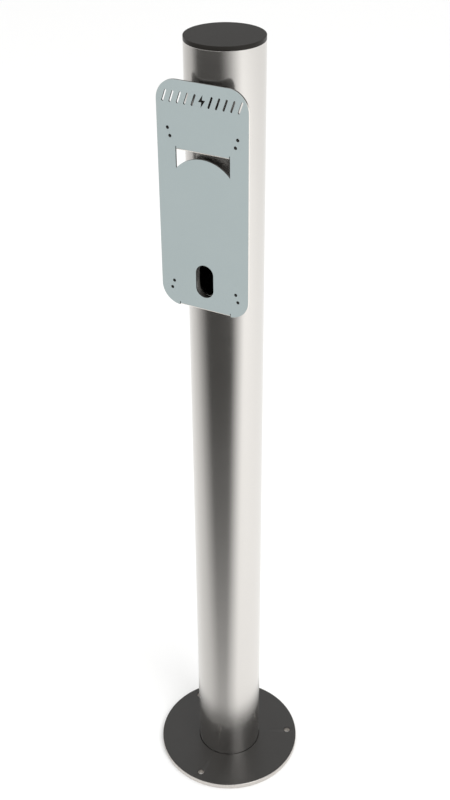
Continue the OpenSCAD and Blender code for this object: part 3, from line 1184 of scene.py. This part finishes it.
# %% [markdown]
# ## The studio
#
# A plain pale floor and soft white light from all round. Polished steel shows what stands around it, so a good
# studio gives it something dark to show: a black cloth on the floor, to one side, and a dark screen high up in
# front. Here only glossy reflections see the two. The cloth darkens one stripe of the tube. It starts outside
# the base and lies just above it, so the flange's bright edge doesn't show it. The screen is there for the shine
# of the cover.

# %% The floor
def plain_floor():
    floor = add(bpy.ops.mesh.primitive_plane_add, "floor", size=60, location=(0, 0, 0))
    paint = Finish("floor_paint", Roughness=0.9, Specular_IOR_Level=0.2)
    tone = paint.colour(paint.noise((0.5, 0.5, 0.5)), (0.945, 0.945, 0.94), (0.955, 0.955, 0.95))
    floor.data.materials.append(paint.send(Base_Color=tone))


def glow(finish, colour):
    """Sends out a colour of its own, however the piece is lit."""
    glowing = finish.add("ShaderNodeEmission")
    glowing.inputs["Color"].default_value = colour
    return glowing.outputs["Emission"]


def only_in_gloss(piece):
    """Leaves a piece of the studio to glossy reflections."""
    piece.visible_camera = False
    piece.visible_diffuse = False
    piece.visible_transmission = False
    piece.visible_shadow = False


CLOTH_R = 9
CLOTH_UP = 11.5 * MM  # just above the base's cover
CLOTH_CLEAR_R = 130 * MM  # nothing of the cloth lies over the base


def black_cloth():
    """A dark sector on the floor, soft at its sides and fading out towards the post."""
    cloth = add(
        bpy.ops.mesh.primitive_circle_add, "black_cloth", vertices=96, radius=CLOTH_R, fill_type="NGON"
    )
    cloth.location.z = CLOTH_UP
    settle(cloth)
    dark = Finish("cloth")
    spot = dark.add("ShaderNodeSeparateXYZ")
    dark.wire(dark.place, spot.inputs["Vector"])
    x, y = spot.outputs["X"], spot.outputs["Y"]
    far = dark.math("SQRT", dark.math("ADD", dark.math("MULTIPLY", x, x), dark.math("MULTIPLY", y, y)))
    turn = dark.math("ARCTAN2", x, dark.math("MULTIPLY", y, -1.0))
    reach = dark.math("SQRT", far)
    left = dark.math(
        "SUBTRACT",
        dark.between(reach, math.radians(-39), math.radians(-66), from_low=0.5, from_high=1.3),
        dark.between(far, 0.0, math.radians(7), from_low=2.0, from_high=4.3),
    )
    left_soft = dark.between(far, math.radians(72), math.radians(40), from_low=1.7, from_high=4.0)
    right = dark.math(
        "SUBTRACT",
        dark.between(reach, math.radians(37), math.radians(64), from_low=0.48, from_high=1.3),
        dark.between(far, 0.0, math.radians(20), from_low=3.0, from_high=4.3),
    )
    right_soft = dark.between(far, math.radians(38), math.radians(58), from_low=3.0, from_high=4.3)
    from_left = dark.math("DIVIDE", dark.math("SUBTRACT", turn, left), left_soft)
    from_right = dark.math("DIVIDE", dark.math("SUBTRACT", right, turn), right_soft)
    haze_end = dark.between(far, math.radians(-115), math.radians(-136), from_low=1.0, from_high=4.0)
    haze = dark.math("MULTIPLY", dark.math("SUBTRACT", turn, haze_end), 0.40)
    haze = dark.math("MINIMUM", dark.math("MAXIMUM", haze, 0.0), 1.0)
    left_side = dark.math("MAXIMUM", dark.between(from_left, 0, 1, -0.5, 0.5), haze)
    sides = dark.math("MULTIPLY", left_side, dark.between(from_right, 0, 1, -0.5, 0.5))
    near = dark.add("ShaderNodeValToRGB")
    stops = near.color_ramp.elements
    stops[0].position, stops[0].color = 0.10, (0.56, 0.56, 0.56, 1)
    stops[1].position, stops[1].color = 0.85, (0.96, 0.96, 0.96, 1)
    for place, depth in ((0.17, 0.67), (0.25, 0.76), (0.34, 0.83), (0.48, 0.90), (0.65, 0.94)):
        stops.new(place).color = (depth, depth, depth, 1)
    dark.wire(dark.between(far, 0.0, 1.0, from_low=0.0, from_high=2.0), near.inputs["Fac"])
    at_foot = dark.between(far, 0.15, 1.0, from_low=0.13, from_high=0.178)
    light = dark.math("SUBTRACT", 1.0, dark.math("MULTIPLY", sides, near.outputs["Color"]))
    depth = dark.math("SUBTRACT", 1.0, dark.math("MULTIPLY", light, at_foot))
    depth = dark.math("MULTIPLY", depth, dark.math("GREATER_THAN", far, CLOTH_CLEAR_R))
    clear = dark.add("ShaderNodeBsdfTransparent")
    mix = dark.add("ShaderNodeMixShader")
    dark.wire(depth, mix.inputs["Fac"])
    dark.wire(clear.outputs["BSDF"], mix.inputs[1])
    dark.wire(glow(dark, (0.014, 0.013, 0.011, 1)), mix.inputs[2])
    dark.wire(mix.outputs["Shader"], dark.tree.nodes["Material Output"].inputs["Surface"])
    cloth.data.materials.append(dark.material)
    only_in_gloss(cloth)


SCREEN_PLACE = (1.9, -3.6, 3.3)
SCREEN_TURN = (math.radians(55), 0, math.radians(28))
SCREEN_W = 2.4


def black_screen():
    """A dark screen behind the camera, seen only in glossy reflections."""
    screen = add(
        bpy.ops.mesh.primitive_plane_add,
        "black_screen",
        size=1,
        location=SCREEN_PLACE,
        rotation=SCREEN_TURN,
    )
    only(screen)
    bpy.ops.transform.resize(value=(SCREEN_W, SCREEN_W, SCREEN_W))
    settle(screen)
    dark = Finish("screen")
    black = glow(dark, (0.02, 0.02, 0.018, 1))
    dark.wire(black, dark.tree.nodes["Material Output"].inputs["Surface"])
    screen.data.materials.append(dark.material)
    only_in_gloss(screen)


plain_floor()
black_cloth()
black_screen()

# %% Light and tone
def soft_box(name, place, aim, size, power):
    start_fresh()
    bpy.ops.object.light_add(type="AREA", location=place)
    lamp = bpy.context.active_object
    lamp.name = name
    lamp.data.size = size
    lamp.data.energy = power
    lamp.rotation_euler = (Vector(aim) - Vector(place)).to_track_quat("-Z", "Y").to_euler()


world = bpy.data.worlds.new("studio")
bpy.context.scene.world = world
world.use_nodes = True
world.node_tree.nodes["Background"].inputs["Color"].default_value = (1.0, 1.0, 1.0, 1)
world.node_tree.nodes["Background"].inputs["Strength"].default_value = 1.0
soft_box("key", (3.5, -2.0, 4.0), (0, 0, 0.8), 3.0, 120)
bpy.context.scene.view_settings.view_transform = "Standard"

# %% [markdown]
# ## The camera
#
# It stands a little higher than the post, to the right of the plate's front, and looks down at it.

# %% Place the camera
CAMERA_TURN = 0.49813
CAMERA_DISTANCE = 1.6387
CAMERA_HEIGHT = 1.8454
LOOK_DOWN = 0.57536
LOOK_ASIDE = 0.00214
ROLL = -0.00787
camera_data = bpy.data.cameras.new("camera")
camera_data.sensor_width = 36
camera_data.lens = 54.61
camera = bpy.data.objects.new("camera", camera_data)
bpy.context.scene.collection.objects.link(camera)
place = Matrix.Translation(
    (CAMERA_DISTANCE * math.sin(CAMERA_TURN), -CAMERA_DISTANCE * math.cos(CAMERA_TURN), CAMERA_HEIGHT)
)
heading = Matrix.Rotation(CAMERA_TURN + LOOK_ASIDE, 4, "Z")
tilt = Matrix.Rotation(math.radians(90) - LOOK_DOWN, 4, "X")
camera.matrix_world = place @ heading @ tilt @ Matrix.Rotation(ROLL, 4, "Z")
bpy.context.scene.camera = camera
print("camera at", [round(c, 3) for c in camera.location])
